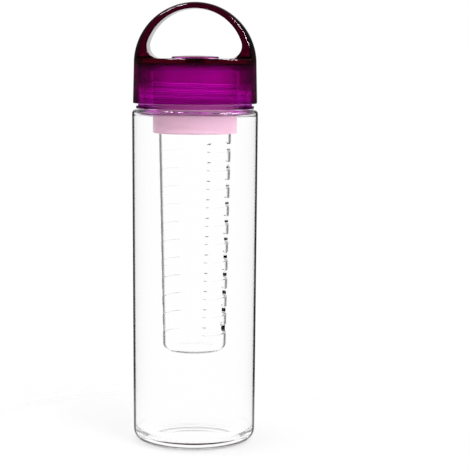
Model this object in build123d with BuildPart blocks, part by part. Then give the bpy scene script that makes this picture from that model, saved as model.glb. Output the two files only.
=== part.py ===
from build123d import *
import os
from math import cos, radians, sin, sqrt, tan

# Infuser water bottle: a clear bottle, a slotted basket that hangs in its mouth from a head ring, and a
# screw lid with an arched handle and a small hinged pour cap. Millimetres, +Z up, the origin is the centre
# of the foot, and the front of the bottle faces -Y.

# Bottle body
shoulder_radius = 37.6
shoulder_height = 200.7
body_taper = 1.0
body_wall = 2.0
base_corner_radius = 8.0
base_floor_height = 5.0
base_inner_corner_radius = 6.0
foot_width = 12.1
punt_height = 1.8
shoulder_wall = 2.4
shoulder_corner_radius = 2.8
shoulder_inner_corner_radius = 1.6
shoulder_step = 7.0
neck_wall = 2.3
neck_height = 22.5
neck_root_radius = 0.8
rim_edge_radius = 0.7

# Mouth gasket, between the bottle's rim and the infuser head
gasket_thickness = 1.0
gasket_edge_inset = 0.4

# Infuser head
head_flange_thickness = 1.6
head_flange_inset = 0.3
head_flange_edge_radius = 0.5
head_root_radius = 1.0
head_neck_room = 3.1
head_wall = 2.15
head_length = 39.4
head_corner_radius = 1.2
head_thread_room = 1.2
head_ledge_depth = 12.8
head_ledge_thickness = 1.6

# Infuser basket and its O-ring
basket_draft = 1.2
basket_length = 142.3
basket_wall = 1.8
basket_corner_radius = 4.2
basket_inner_corner_radius = 2.6
basket_rim_edge_radius = 0.4
gate_nub_radius = 1.5
gate_nub_height = 0.8
slot_rows = 11
slot_height = 5.4
slot_half_angle = 36.2
slot_corner_radius = 1.2
slot_first_drop = 16.8
slot_last_rise = 10.7
slot_azimuth = 64.0
o_ring_thickness = 1.4
o_ring_inset = 0.2

# Lid shell, with the arched handle moulded on its deck
lid_wall = 2.2
lid_taper = 0.6
lid_liner_clearance = 0.3
lid_skirt_gap = 1.4
lid_lip_radius = 0.6
deck_thickness = 2.6
deck_edge_radius = 1.0
arch_stand = 0.1
arch_band = 7.4
arch_centre_drop = 3.0
arch_root_depth = 30.0
arch_crown_depth = 20.0
arch_edge_radius = 1.2
loop_centre_rise = 0.4
loop_corner_radius = 7.5
loop_edge_radius = 0.9

# Thread liner, the inner cup of the lid
liner_thread_room = 1.9
liner_wall = 1.5
liner_roof_thickness = 1.0
liner_roof_width = 7.0
liner_foot_gap = 0.3
liner_flange_width = 1.2
liner_flange_thickness = 1.7
liner_edge_radius = 0.4

# Lid seal, between the head and the roof of the liner
seal_thickness = 1.2
seal_width = 5.2
seal_inset = 0.4

# Pour port, hinged cap, plug and hinge pin
port_radius = 6.1
port_rim_wall = 1.9
port_rim_height = 0.3
cap_radius = 14.1
cap_clearance = 0.15
cap_crown_height = 2.0
cap_edge_height = 1.2
cap_hollow_height = 0.6
cap_skirt_wall = 1.4
cap_edge_radius = 0.5
cap_boss_radius = 2.2
cap_boss_length = 1.9
plug_clearance = 0.3
plug_boss_clearance = 0.05
plug_depth = 2.2
plug_lead = 0.7
hinge_setback = 1.5
hinge_drop = 1.3
knuckle_radius = 1.3
knuckle_length = 8.0
knuckle_clearance = 0.25
pin_radius = 0.6
pin_clearance = 0.05
pin_ear_length = 2.6
hinge_well_front = 1.7
hinge_well_back = 3.6
hinge_well_wall = 1.3
finger_scoop_radius = 7.0
finger_scoop_depth = 1.1
finger_scoop_reach = 3.2

# One overrun serves every cut that runs past a face
overrun = 4.0

# Heights and radii that follow from the stack on the bottle's mouth
rim_z = shoulder_height + neck_height
head_flange_z = rim_z + gasket_thickness
head_top_z = head_flange_z + head_flange_thickness
liner_roof_z = head_top_z + seal_thickness
deck_underside_z = liner_roof_z + liner_roof_thickness
deck_z = deck_underside_z + deck_thickness
head_bottom_z = head_top_z - head_length
ledge_z = head_bottom_z + head_ledge_depth
basket_top_z = ledge_z - o_ring_thickness
basket_bottom_z = basket_top_z - basket_length
liner_bottom_z = shoulder_height + liner_foot_gap
lid_bottom_z = liner_bottom_z + liner_flange_thickness + lid_skirt_gap
base_radius = shoulder_radius - body_taper
foot_inner_radius = base_radius - foot_width
neck_radius = shoulder_radius - shoulder_step
neck_bore_radius = neck_radius - neck_wall
head_radius = neck_bore_radius - head_neck_room
head_bore_radius = head_radius - head_wall
basket_top_radius = head_bore_radius - head_thread_room
basket_bore_radius = basket_top_radius - basket_wall
liner_bore_radius = neck_radius + liner_thread_room
liner_radius = liner_bore_radius + liner_wall
liner_roof_bore_radius = liner_bore_radius - liner_roof_width
liner_flange_radius = liner_radius + liner_flange_width
lid_top_radius = liner_radius + lid_liner_clearance + lid_wall
lid_bottom_radius = lid_top_radius + lid_taper
arch_radius = lid_top_radius + arch_stand
loop_radius = arch_radius - arch_band


def ring(outer_radius, inner_radius, bottom_z, height):
    """A plain washer: a face revolved about the bottle's axis."""
    with BuildPart() as washer:
        with BuildSketch(Plane.XY.offset(bottom_z)):
            Circle(outer_radius)
            Circle(inner_radius, mode=Mode.SUBTRACT)
        extrude(amount=height)
    return washer


def corner_near(builder, x, y):
    """The corner of a sketch that lies nearest to a point given in its own plane."""
    return builder.vertices().sort_by_distance((x, y, 0))[0]


os.makedirs("parts", exist_ok=True)

# Bottle body: a drafted shell with a pushed-up base, a square shoulder and a plain neck for the thread
with BuildPart() as bottle_body:
    with BuildSketch(Plane.XZ) as bottle_outline:
        with BuildLine():
            Polyline(
                (foot_inner_radius, 0),
                (base_radius, 0),
                (shoulder_radius, shoulder_height),
                (neck_radius, shoulder_height),
                (neck_radius, rim_z),
                (0, rim_z),
                (0, punt_height),
            )
            ThreePointArc(
                (0, punt_height),
                (foot_inner_radius / 2, punt_height * 3 / 4),
                (foot_inner_radius, 0),
            )
        make_face()
        fillet(corner_near(bottle_outline, base_radius, 0), base_corner_radius)
        fillet(corner_near(bottle_outline, shoulder_radius, shoulder_height), shoulder_corner_radius)
        fillet(corner_near(bottle_outline, neck_radius, shoulder_height), neck_root_radius)
    revolve(axis=Axis.Z)
    with BuildSketch(Plane.XZ) as bottle_hollow:
        inner_base_radius = base_radius - body_wall
        inner_shoulder_radius = shoulder_radius - body_wall
        inner_shoulder_z = shoulder_height - shoulder_wall
        with BuildLine():
            Polyline(
                (0, base_floor_height),
                (inner_base_radius, base_floor_height),
                (inner_shoulder_radius, inner_shoulder_z),
                (neck_bore_radius, inner_shoulder_z),
                (neck_bore_radius, rim_z + overrun),
                (0, rim_z + overrun),
                close=True,
            )
        make_face()
        fillet(corner_near(bottle_hollow, inner_base_radius, base_floor_height), base_inner_corner_radius)
        fillet(
            [
                corner_near(bottle_hollow, inner_shoulder_radius, inner_shoulder_z),
                corner_near(bottle_hollow, neck_bore_radius, inner_shoulder_z),
            ],
            shoulder_inner_corner_radius,
        )
    revolve(axis=Axis.Z, mode=Mode.SUBTRACT)
    fillet(bottle_body.faces().sort_by(Axis.Z)[-1].edges(), rim_edge_radius)

bottle_body.part.label = "bottle_body"
export_step(bottle_body.part, "parts/bottle_body.step")

# Mouth gasket: a flat ring on the rim
mouth_gasket = ring(
    neck_radius - gasket_edge_inset, neck_bore_radius + gasket_edge_inset, rim_z, gasket_thickness
)
mouth_gasket.part.label = "mouth_gasket"
export_step(mouth_gasket.part, "parts/mouth_gasket.step")

# Infuser head: a collar that hangs from its flange, with a ledge inside that the basket screws up to
with BuildPart() as infuser_head:
    with BuildSketch(Plane.XZ) as head_profile:
        flange_radius = neck_radius - head_flange_inset
        with BuildLine():
            Polyline(
                (head_bore_radius, head_bottom_z),
                (head_radius, head_bottom_z),
                (head_radius, head_flange_z),
                (flange_radius, head_flange_z),
                (flange_radius, head_top_z),
                (head_bore_radius, head_top_z),
                (head_bore_radius, ledge_z + head_ledge_thickness),
                (basket_bore_radius, ledge_z + head_ledge_thickness),
                (basket_bore_radius, ledge_z),
                (head_bore_radius, ledge_z),
                close=True,
            )
        make_face()
        fillet(corner_near(head_profile, head_radius, head_bottom_z), head_corner_radius)
        fillet(corner_near(head_profile, head_radius, head_flange_z), head_root_radius)
        fillet(
            [
                corner_near(head_profile, flange_radius, head_flange_z),
                corner_near(head_profile, flange_radius, head_top_z),
            ],
            head_flange_edge_radius,
        )
    revolve(axis=Axis.Z)

infuser_head.part.label = "infuser_head"
export_step(infuser_head.part, "parts/infuser_head.step")

# Basket O-ring: seals the basket's rim against the ledge
basket_o_ring = ring(
    basket_top_radius - o_ring_inset, basket_bore_radius + o_ring_inset, basket_top_z, o_ring_thickness
)
basket_o_ring.part.label = "basket_o_ring"
export_step(basket_o_ring.part, "parts/basket_o_ring.step")

# Infuser basket: a drafted tube with a rounded floor and two columns of slots, one on each side, cut
# straight across as the mould's side cores cut them
draft_drop = basket_length * tan(radians(basket_draft))
basket_base_radius = basket_top_radius - draft_drop

with BuildPart() as infuser_basket:
    with BuildSketch(Plane.XZ) as basket_outline:
        with BuildLine():
            Polyline(
                (0, basket_bottom_z),
                (basket_base_radius, basket_bottom_z),
                (basket_top_radius, basket_top_z),
                (0, basket_top_z),
                close=True,
            )
        make_face()
        fillet(corner_near(basket_outline, basket_base_radius, basket_bottom_z), basket_corner_radius)
    revolve(axis=Axis.Z)
    with BuildSketch(Plane.XZ) as basket_hollow:
        with BuildLine():
            Polyline(
                (0, basket_bottom_z + basket_wall),
                (basket_base_radius - basket_wall, basket_bottom_z + basket_wall),
                (basket_bore_radius, basket_top_z),
                (basket_bore_radius, basket_top_z + overrun),
                (0, basket_top_z + overrun),
                close=True,
            )
        make_face()
        fillet(
            corner_near(basket_hollow, basket_base_radius - basket_wall, basket_bottom_z + basket_wall),
            basket_inner_corner_radius,
        )
    revolve(axis=Axis.Z, mode=Mode.SUBTRACT)
    fillet(infuser_basket.faces().sort_by(Axis.Z)[-1].edges(), basket_rim_edge_radius)
    with BuildSketch(Plane.XY.offset(basket_bottom_z + basket_wall / 2)):
        Circle(gate_nub_radius)
    extrude(amount=-basket_wall / 2 - gate_nub_height)
    first_slot_z = basket_top_z - slot_first_drop - slot_height / 2
    slot_spacing = (basket_length - slot_first_drop - slot_height - slot_last_rise) / (slot_rows - 1)
    slot_direction = (sin(radians(slot_azimuth)), -cos(radians(slot_azimuth)), 0)
    slots_middle_z = first_slot_z - slot_spacing * (slot_rows - 1) / 2
    slot_half_width = basket_top_radius * sin(radians(slot_half_angle))
    with BuildSketch(Plane(origin=(0, 0, slots_middle_z), x_dir=(0, 0, 1), z_dir=slot_direction)):
        with GridLocations(slot_spacing, slot_spacing, slot_rows, 1):
            RectangleRounded(slot_height, 2 * slot_half_width, slot_corner_radius)
    extrude(amount=basket_top_radius + overrun, both=True, mode=Mode.SUBTRACT)

infuser_basket.part.label = "infuser_basket"
export_step(infuser_basket.part, "parts/infuser_basket.step")

# Thread liner: the lid's inner cup, whose foot flange shows as a thin ring under the skirt
with BuildPart() as thread_liner:
    with BuildSketch(Plane.XZ) as liner_profile:
        flange_top_z = liner_bottom_z + liner_flange_thickness
        with BuildLine():
            Polyline(
                (liner_bore_radius, liner_bottom_z),
                (liner_flange_radius, liner_bottom_z),
                (liner_flange_radius, flange_top_z),
                (liner_radius, flange_top_z),
                (liner_radius, deck_underside_z),
                (liner_roof_bore_radius, deck_underside_z),
                (liner_roof_bore_radius, liner_roof_z),
                (liner_bore_radius, liner_roof_z),
                close=True,
            )
        make_face()
        fillet(
            [
                corner_near(liner_profile, liner_flange_radius, liner_bottom_z),
                corner_near(liner_profile, liner_flange_radius, flange_top_z),
            ],
            liner_edge_radius,
        )
    revolve(axis=Axis.Z)

thread_liner.part.label = "thread_liner"
export_step(thread_liner.part, "parts/thread_liner.step")

# Lid seal: a flat ring that the liner's roof presses on the head's flange
seal_radius = neck_radius - seal_inset
lid_seal = ring(seal_radius, seal_radius - seal_width, head_top_z, seal_thickness)
lid_seal.part.label = "lid_seal"
export_step(lid_seal.part, "parts/lid_seal.step")

# Arched handle: a slice of a dome that narrows to its crown, with a rounded loop cut through it
arch_centre_z = deck_z - arch_centre_drop
arch_top_z = arch_centre_z + arch_radius
arch_foot_z = deck_z - deck_edge_radius
loop_floor_reach = sqrt(
    (loop_radius - loop_corner_radius) ** 2 - (loop_corner_radius - loop_centre_rise) ** 2
)

with BuildPart() as arched_handle:
    with BuildSketch(Plane.XZ):
        with Locations((0, arch_centre_z)):
            Circle(arch_radius)
        with Locations((0, arch_foot_z)):
            Rectangle(arch_radius, 2 * arch_radius, align=(Align.MIN, Align.MIN), mode=Mode.INTERSECT)
    revolve(axis=Axis.Z)
    with BuildSketch(Plane.YZ):
        with BuildLine():
            Polyline(
                (-arch_root_depth / 2, arch_foot_z),
                (arch_root_depth / 2, arch_foot_z),
                (arch_crown_depth / 2, arch_top_z),
                (-arch_crown_depth / 2, arch_top_z),
                close=True,
            )
        make_face()
    extrude(amount=arch_radius, both=True, mode=Mode.INTERSECT)
    outer_edges = arched_handle.edges().filter_by(
        lambda e: abs(e.center().Y) > arch_crown_depth / 4 and e.center().Z > deck_z
    )
    fillet(outer_edges, arch_edge_radius)
    with BuildSketch(Plane.XZ) as loop_profile:
        with Locations((0, deck_z + loop_centre_rise)):
            Circle(loop_radius)
        with Locations((0, deck_z)):
            Rectangle(2 * loop_radius, 2 * loop_radius, align=(Align.CENTER, Align.MIN), mode=Mode.INTERSECT)
        fillet(
            [
                corner_near(loop_profile, -loop_radius, deck_z),
                corner_near(loop_profile, loop_radius, deck_z),
            ],
            loop_corner_radius,
        )
        with Locations((0, deck_z)):
            Rectangle(2 * loop_floor_reach, 2 * deck_thickness)
    extrude(amount=arch_root_depth, both=True, mode=Mode.SUBTRACT)
    fillet(arched_handle.edges().filter_by(GeomType.ELLIPSE), loop_edge_radius)

# Lid shell: skirt and deck, with the handle, the pour port, the hinge's well and a finger scoop
port_rim_radius = port_radius + port_rim_wall
hinge_y = cap_radius + hinge_setback
hinge_z = deck_z - hinge_drop
pin_length = knuckle_length + 2 * pin_ear_length
well_front_y = hinge_y - hinge_setback - hinge_well_front
well_depth = hinge_well_front + hinge_setback + hinge_well_back
well_width = knuckle_length + 2 * knuckle_clearance
well_floor_z = hinge_z - knuckle_radius - knuckle_clearance
bore_length = pin_length + 2 * pin_clearance

with BuildPart() as lid_shell:
    with BuildSketch(Plane.XZ) as lid_outline:
        with BuildLine():
            Polyline(
                (0, lid_bottom_z),
                (lid_bottom_radius, lid_bottom_z),
                (lid_top_radius, deck_z),
                (0, deck_z),
                close=True,
            )
        make_face()
        fillet(corner_near(lid_outline, lid_top_radius, deck_z), deck_edge_radius)
        fillet(corner_near(lid_outline, lid_bottom_radius, lid_bottom_z), lid_lip_radius)
    revolve(axis=Axis.Z)
    with BuildSketch(Plane.XZ):
        with BuildLine():
            Polyline(
                (0, lid_bottom_z),
                (lid_bottom_radius - lid_wall, lid_bottom_z),
                (lid_top_radius - lid_wall, deck_underside_z),
                (0, deck_underside_z),
                close=True,
            )
        make_face()
    revolve(axis=Axis.Z, mode=Mode.SUBTRACT)
    add(arched_handle.part)
    with BuildSketch(Plane.XY.offset(deck_z - deck_thickness / 2)):
        Circle(port_rim_radius)
    extrude(amount=deck_thickness / 2 + port_rim_height)
    with BuildSketch(Plane.XY.offset(deck_underside_z)):
        Circle(port_radius)
    extrude(amount=deck_thickness + port_rim_height, mode=Mode.SUBTRACT)
    with BuildSketch(Plane.XY.offset(deck_z - deck_thickness / 2)):
        with Locations((0, well_front_y + well_depth / 2)):
            Rectangle(
                bore_length + 2 * hinge_well_wall,
                well_depth + 2 * hinge_well_wall,
            )
    extrude(amount=well_floor_z - hinge_well_wall - (deck_z - deck_thickness / 2))
    with BuildSketch(Plane.XY.offset(well_floor_z)):
        with Locations((0, well_front_y)):
            Rectangle(well_width, well_depth, align=(Align.CENTER, Align.MIN))
    extrude(amount=deck_z - well_floor_z, mode=Mode.SUBTRACT)
    with BuildSketch(Plane.YZ.offset(-bore_length / 2)):
        with Locations((hinge_y, hinge_z)):
            Circle(pin_radius + pin_clearance)
    extrude(amount=bore_length, mode=Mode.SUBTRACT)
    with BuildSketch(Plane.XZ.offset(cap_radius + finger_scoop_reach)):
        with Locations((0, deck_z + finger_scoop_radius - finger_scoop_depth)):
            Circle(finger_scoop_radius)
    extrude(amount=-2 * finger_scoop_reach, mode=Mode.SUBTRACT)

lid_shell.part.label = "lid_shell"
export_step(lid_shell.part, "parts/lid_shell.step")

# Spout cap: a shallow domed disc with a hollow underside, a boss for the plug and a hinge knuckle
cap_bottom_z = deck_z + cap_clearance
cap_hollow_z = deck_z + cap_hollow_height
cap_edge_z = deck_z + cap_edge_height
cap_crown_z = deck_z + cap_crown_height
cap_hollow_radius = cap_radius - cap_skirt_wall

with BuildPart() as spout_cap:
    with BuildSketch(Plane.XZ) as cap_profile:
        with BuildLine():
            Polyline(
                (cap_radius, cap_edge_z),
                (cap_radius, cap_bottom_z),
                (cap_hollow_radius, cap_bottom_z),
                (cap_hollow_radius, cap_hollow_z),
                (cap_boss_radius, cap_hollow_z),
                (cap_boss_radius, cap_hollow_z - cap_boss_length),
                (0, cap_hollow_z - cap_boss_length),
                (0, cap_crown_z),
            )
            TangentArc((0, cap_crown_z), (cap_radius, cap_edge_z), tangent=(1, 0))
        make_face()
        fillet(corner_near(cap_profile, cap_radius, cap_edge_z), cap_edge_radius)
    revolve(axis=Axis.Z)
    with BuildSketch(Plane.YZ.offset(-knuckle_length / 2)):
        with BuildLine():
            Polyline(
                (cap_hollow_radius, cap_bottom_z),
                (cap_hollow_radius, cap_edge_z),
                (cap_radius, cap_edge_z - cap_edge_radius),
                (hinge_y, hinge_z + knuckle_radius),
                (hinge_y, hinge_z),
                (hinge_y - knuckle_radius, hinge_z),
                close=True,
            )
        make_face()
        with Locations((hinge_y, hinge_z)):
            Circle(knuckle_radius)
            Circle(pin_radius, mode=Mode.SUBTRACT)
    extrude(amount=knuckle_length)

spout_cap.part.label = "spout_cap"
export_step(spout_cap.part, "parts/spout_cap.step")

# Cap plug: a soft stopper pushed on the cap's boss, with a rounded lead into the port
plug_radius = port_radius - plug_clearance
plug_bottom_z = deck_z - plug_depth

with BuildPart() as cap_plug:
    with BuildSketch(Plane.XY.offset(plug_bottom_z)):
        Circle(plug_radius)
    extrude(amount=cap_hollow_z - plug_bottom_z)
    fillet(cap_plug.faces().sort_by(Axis.Z)[0].edges(), plug_lead)
    with BuildSketch(Plane.XY.offset(cap_hollow_z)):
        Circle(cap_boss_radius)
    extrude(amount=-cap_boss_length - plug_boss_clearance, mode=Mode.SUBTRACT)

cap_plug.part.label = "cap_plug"
export_step(cap_plug.part, "parts/cap_plug.step")

# Hinge pin: held by the lid at both ends, and the cap turns on it
with BuildPart() as cap_hinge_pin:
    with BuildSketch(Plane.YZ.offset(-pin_length / 2)):
        with Locations((hinge_y, hinge_z)):
            Circle(pin_radius)
    extrude(amount=pin_length)
    chamfer(cap_hinge_pin.edges(), pin_radius / 4)

cap_hinge_pin.part.label = "cap_hinge_pin"
export_step(cap_hinge_pin.part, "parts/cap_hinge_pin.step")
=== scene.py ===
"""Looks of the infuser water bottle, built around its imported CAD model.

Metres, +Z up, the origin at the centre of the foot; the front of the bottle faces -Y. The CAD gives
every main shape. This file adds the screw threads, the rounded rubber rings, the plastics and the
studio.
"""

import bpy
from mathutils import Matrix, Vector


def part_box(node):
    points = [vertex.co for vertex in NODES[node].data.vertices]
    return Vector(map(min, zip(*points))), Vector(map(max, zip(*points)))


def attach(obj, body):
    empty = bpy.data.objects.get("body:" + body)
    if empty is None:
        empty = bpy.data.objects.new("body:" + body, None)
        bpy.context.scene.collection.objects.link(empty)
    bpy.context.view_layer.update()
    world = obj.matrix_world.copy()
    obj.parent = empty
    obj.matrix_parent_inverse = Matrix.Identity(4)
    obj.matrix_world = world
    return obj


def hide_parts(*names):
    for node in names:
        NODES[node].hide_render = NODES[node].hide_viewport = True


bl_info = {
    "name": "Infuser Water Bottle",
    "version": (1, 0, 0),
    "blender": (4, 5, 0),
    "location": "View3D > Sidebar > Bottle",
    "description": "Threads, rubber rings, plastics and a studio for an infuser water bottle",
    "category": "Object",
}

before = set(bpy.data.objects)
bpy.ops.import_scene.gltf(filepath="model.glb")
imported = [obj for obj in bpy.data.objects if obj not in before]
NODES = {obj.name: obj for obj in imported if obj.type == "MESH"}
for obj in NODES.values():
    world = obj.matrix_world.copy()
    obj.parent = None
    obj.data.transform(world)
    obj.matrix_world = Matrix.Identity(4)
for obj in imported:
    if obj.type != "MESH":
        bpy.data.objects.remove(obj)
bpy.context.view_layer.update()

import math
from functools import partial

import bmesh
import bpy
from bpy.props import FloatProperty, FloatVectorProperty, IntProperty, PointerProperty
from bpy.types import Operator, Panel, PropertyGroup
from mathutils import Matrix, Vector

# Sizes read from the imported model
HEAD_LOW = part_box("infuser_head")[0]
BASKET_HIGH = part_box("infuser_basket")[1]
LINER_LOW, LINER_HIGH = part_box("thread_liner")
SEAL_LOW, SEAL_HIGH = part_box("lid_seal")
GASKET_LOW, GASKET_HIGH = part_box("mouth_gasket")
O_RING_LOW, O_RING_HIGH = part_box("basket_o_ring")
PLUG_LOW, PLUG_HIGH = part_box("cap_plug")
PIN_LOW, PIN_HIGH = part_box("cap_hinge_pin")

# Fineness of the turned pieces
ARC_STEPS = 6
TURNED_SEGMENTS = 160
PLUG_SEGMENTS = 96
PIN_SEGMENTS = 48
MERGE_DISTANCE = 1e-7
TURNED_SHARP_ANGLE = math.radians(32)
THREAD_SHARP_ANGLE = math.radians(40)

# A ridge's swell at its very ends, and the rounding of its corners as a share of its crest
RIDGE_LEAST_SWELL = 0.12
RIDGE_ROUNDING = 0.35

# Heights over the liner's foot between which the lid's colours change
HEM_HEIGHTS = (0.003, 0.011)
SIDE_HEIGHTS = (0.004, 0.016)
FLANGE_HEIGHTS = (0.002, 0.003)
# The same, over the liner's top
DECK_HEIGHTS = (-0.0055, 0.0005)
ARCH_HEIGHTS = (0.0025, 0.0055)
# How much painted edge shade is left at the skirt's foot
HEM_SHARE = 0.2
# Facing weights between which painted shade darkens the skirt aslant, and between which it darkens
# its foot too
SIDE_FACING = (0.03, 0.33)
RIM_FACING = (0.42, 0.62)
# How far a wall has to look away from the bottle's axis to take painted edge shade, and how softly
# that sets in
OUTWARD_LEAST = 0.1
OUTWARD_SOFTNESS = 0.15
# Upward and downward looks between which a wall stops and starts taking painted edge shade
UPWARD = (0.6, 0.85)
DOWNWARD = (-0.8, -0.5)

# Noise between which a scuff's lines and the patches that they lie in set in
SCUFF_LINES = (0.62, 0.7)
SCUFF_PATCHES = (0.45, 0.7)

# Floor: its segments, and the radii between which it fades out
FLOOR_SEGMENTS = 128
FLOOR_FADE = (0.05, 0.24)

# Key lamp
KEY_SIZE = 0.5
KEY_PLACE = (0.55, -0.75, 0.85)
KEY_AIM = (0.0, 0.0, 0.12)

# World: the shade straight above, seen through plastic
TOP_RISE = (0.6, 0.85)
TOP_SHADE = 0.35
# The backdrop that gloss mirrors: its edges, and its strength below and above the horizon
SCREEN_AZIMUTH = (math.radians(8), math.radians(12))
SCREEN_RISE = (0.2, 0.28)
SCREEN_HORIZON = (-0.1, -0.06)
SCREEN_STRENGTH = (0.4, 0.85)
# The side strip and the two upper lamps that gloss mirrors: middle, half width and softness
STRIP_AZIMUTH = (math.radians(-97), math.radians(1.5), math.radians(1.0))
STRIP_RISE = (-0.006, 0.0015, 0.001)
RIGHT_LAMP_CLIMB = (math.radians(42), math.radians(15), math.radians(2))
LEFT_LAMP_CLIMB = (math.radians(112), math.radians(11), math.radians(2))
LAMP_DEPTH = (-0.1, 0.25, 0.05)


def number(name, description, default):
    """A plain number property."""
    return FloatProperty(name=name, description=description, default=default)


def angle(name, description, degrees):
    """An angle property, from its default in degrees."""
    return FloatProperty(
        name=name, description=description, default=math.radians(degrees), subtype="ANGLE"
    )


def metres(name, description, default):
    """A length property, in metres."""
    return FloatProperty(
        name=name, description=description, default=default, unit="LENGTH", precision=5
    )


def colour(name, description, default):
    """A linear colour property."""
    return FloatVectorProperty(
        name=name, description=description, default=default, size=3, subtype="COLOR", min=0, max=1
    )


class ThreadSizes(PropertyGroup):
    """Sizes of the threads on the neck and the basket, and of those in the liner and the head."""

    neck_radius: metres("Neck radius", "Outside of the neck, at the foot of its thread", 0.0306)
    neck_pitch: metres("Neck pitch", "Rise of the lid's thread in one turn", 0.004)
    neck_depth: metres("Neck depth", "How far the neck's ridge stands out", 0.0013)
    neck_start: metres("Neck start", "Height over the foot where the neck's ridge starts", 0.2065)
    neck_turns: number("Neck turns", "Turns of the neck's ridge", 2.6)
    liner_turns: number("Liner turns", "Turns of the liner's ridge", 2.4)
    basket_lead: metres("Basket lead", "Rise of each of the basket's ridges in one turn", 0.008)
    basket_depth: metres("Basket depth", "How far the ridges on basket and head stand out", 0.0008)
    basket_starts: IntProperty(name="Basket starts", description="Ridges side by side", default=2)
    basket_turns: number("Basket turns", "Turns of each ridge", 0.8)
    basket_run_out: number("Basket run out", "Share of each ridge over which it swells", 0.1)
    basket_room: number("Basket room", "From the basket to the head's bore, in ridge depths", 1.5)
    basket_root: number("Basket root", "How much deeper the basket's ridges are sunk", 5.0)
    ridge_foot: metres("Ridge foot", "Width of a ridge where it leaves the wall", 0.0017)
    ridge_crest: metres("Ridge crest", "Width of a ridge at its crest", 0.0007)
    ridge_root: metres("Ridge root", "How far a ridge is sunk into its wall", 0.00004)


class RingSizes(PropertyGroup):
    """Sizes of the liner, the rubber rings, the plug and the pin."""

    liner_wall: metres("Liner wall", "Wall of the thread liner", 0.0015)
    liner_roof: metres("Liner roof", "Thickness of the liner's roof", 0.001)
    liner_roof_width: metres("Liner roof width", "Width of the liner's roof", 0.007)
    flange_width: metres("Flange width", "How far the liner's foot flange stands out", 0.0012)
    flange_height: metres("Flange height", "Thickness of the liner's foot flange", 0.0017)
    gasket_width: metres("Gasket width", "Width of the ring on the bottle's mouth", 0.0015)
    seal_width: metres("Seal width", "Width of the ring under the liner's roof", 0.0052)
    o_ring_width: metres("O-ring width", "Width of the ring on the basket's rim", 0.0014)
    ring_edge: metres("Ring edge", "Rounding of the rubber rings", 0.00035)
    skin_gap: metres("Skin gap", "Room kept between two faces that touch", 0.00003)
    plug_boss_radius: metres("Plug boss radius", "Hole in the plug for the cap's boss", 0.0022)
    plug_boss_depth: metres("Plug boss depth", "Depth of that hole", 0.00195)
    plug_lead: metres("Plug lead", "Rounding at the plug's nose", 0.0007)
    pin_chamfer: metres("Pin chamfer", "Chamfer at the hinge pin's ends", 0.00015)


class PlasticLooks(PropertyGroup):
    """Colours and gloss of the plastics, the rubber and the pin, with the painted shade that the
    plastics take where they are seen aslant and edge on.
    """

    clear_tint: colour("Clear tint", "Tint of the clear plastic", (1.0, 1.0, 1.0))
    # Painted shade: a dark outline put on clear plastic where it is seen edge on
    painted_outline_shade: colour("Outline tint", "Clear plastic seen edge on", (0.004, 0.004, 0.005))
    shell_tint: colour("Shell tint", "What the lid shell's plastic lets through", (0.95, 0.0, 0.87))
    shell_face: colour("Shell face", "Skirt, beside what its depth takes", (1.0, 0.03, 0.95))
    hem_face: colour("Hem face", "The same, at the skirt's foot", (0.50, 0.015, 0.47))
    # Painted shade: the lid shell darkened where it is seen aslant and edge on
    shell_painted_side_shade: colour("Shell side", "Tint of the lid shell seen aslant", (0.55, 0.015, 0.30))
    shell_painted_edge_shade: colour("Shell edge", "Tint of the lid shell seen edge on", (0.005, 0.0005, 0.002))
    deck_face: colour("Deck face", "Colour of the deck's rim", (0.155, 0.06, 0.07))
    arch_face: colour("Arch face", "Colour of the arch", (0.062, 0.040, 0.022))
    liner_tint: colour("Liner tint", "What the liner's plastic lets through", (0.92, 0.0, 0.93))
    # Painted shade: the liner darkened where it is seen edge on
    liner_painted_edge_shade: colour("Liner edge", "Tint of the liner seen edge on", (0.012, 0.001, 0.009))
    flange_face: colour("Flange face", "Colour of the liner's flange", (0.70, 0.53, 0.64))
    shell_density: number("Shell density", "Absorption per metre", 330.0)
    liner_density: number("Liner density", "Absorption per metre", 500.0)
    head_tint: colour("Head tint", "Colour of the infuser head's pink plastic", (0.97, 0.66, 0.82))
    rubber_tint: colour("Rubber tint", "Milky rubber", (0.86, 0.85, 0.87))
    steel_tint: colour("Steel tint", "Drawn steel pin", (0.56, 0.56, 0.58))
    shell_clearness: number("Shell clearness", "Transmission of the lid shell's plastic", 0.985)
    head_clearness: number("Head clearness", "Transmission of the head's plastic", 0.45)
    rubber_clearness: number("Rubber clearness", "Transmission of the rubber", 0.3)
    plastic_ior: number("Plastic IOR", "Refractive index of the lid's plastics", 1.49)
    clear_ior: number("Clear IOR", "Refractive index of the clear plastic", 1.35)
    head_ior: number("Head IOR", "Refractive index of the head's plastic", 1.2)
    rubber_ior: number("Rubber IOR", "Refractive index of the rubber", 1.45)


class StudioSettings(PropertyGroup):
    """Camera, floor and light."""

    lens: number("Lens", "Focal length in millimetres", 128.7)
    camera_distance: metres("Camera distance", "From the bottle's axis", 1.006)
    camera_height: metres("Camera height", "Above the floor", 0.230)
    camera_pitch: angle("Camera pitch", "Below the horizon", 5.95)
    camera_yaw: angle("Camera yaw", "To the right", 1.381)
    camera_orbit: angle("Camera orbit", "About the bottle, towards +X", 3.0)
    camera_roll: angle("Camera roll", "Anticlockwise", 0.33)
    floor_radius: metres("Floor radius", "Radius of the floor", 0.6)
    floor_tint: colour("Floor tint", "Floor", (0.97, 0.97, 0.97))
    floor_clearness: number("Floor clearness", "How clear its middle is", 0.45)
    fill_strength: number("Fill", "World light on matt surfaces", 1.0)
    inner_fill: number("Inner fill", "The same, inside clear plastic", 1.85)
    inner_slant: number("Inner slant", "How much more of it comes from +X", 0.85)
    dark_strength: number("Dark", "What gloss mirrors between the lamps", 0.03)
    strip_strength: number("Strip", "What gloss mirrors in the side strip", 5.0)
    lamp_strength: number("Lamps", "What gloss mirrors in the upper lamps", 55.0)
    key_power: number("Key", "Power of the key light in watts", 3.0)


# Node trees

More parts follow.
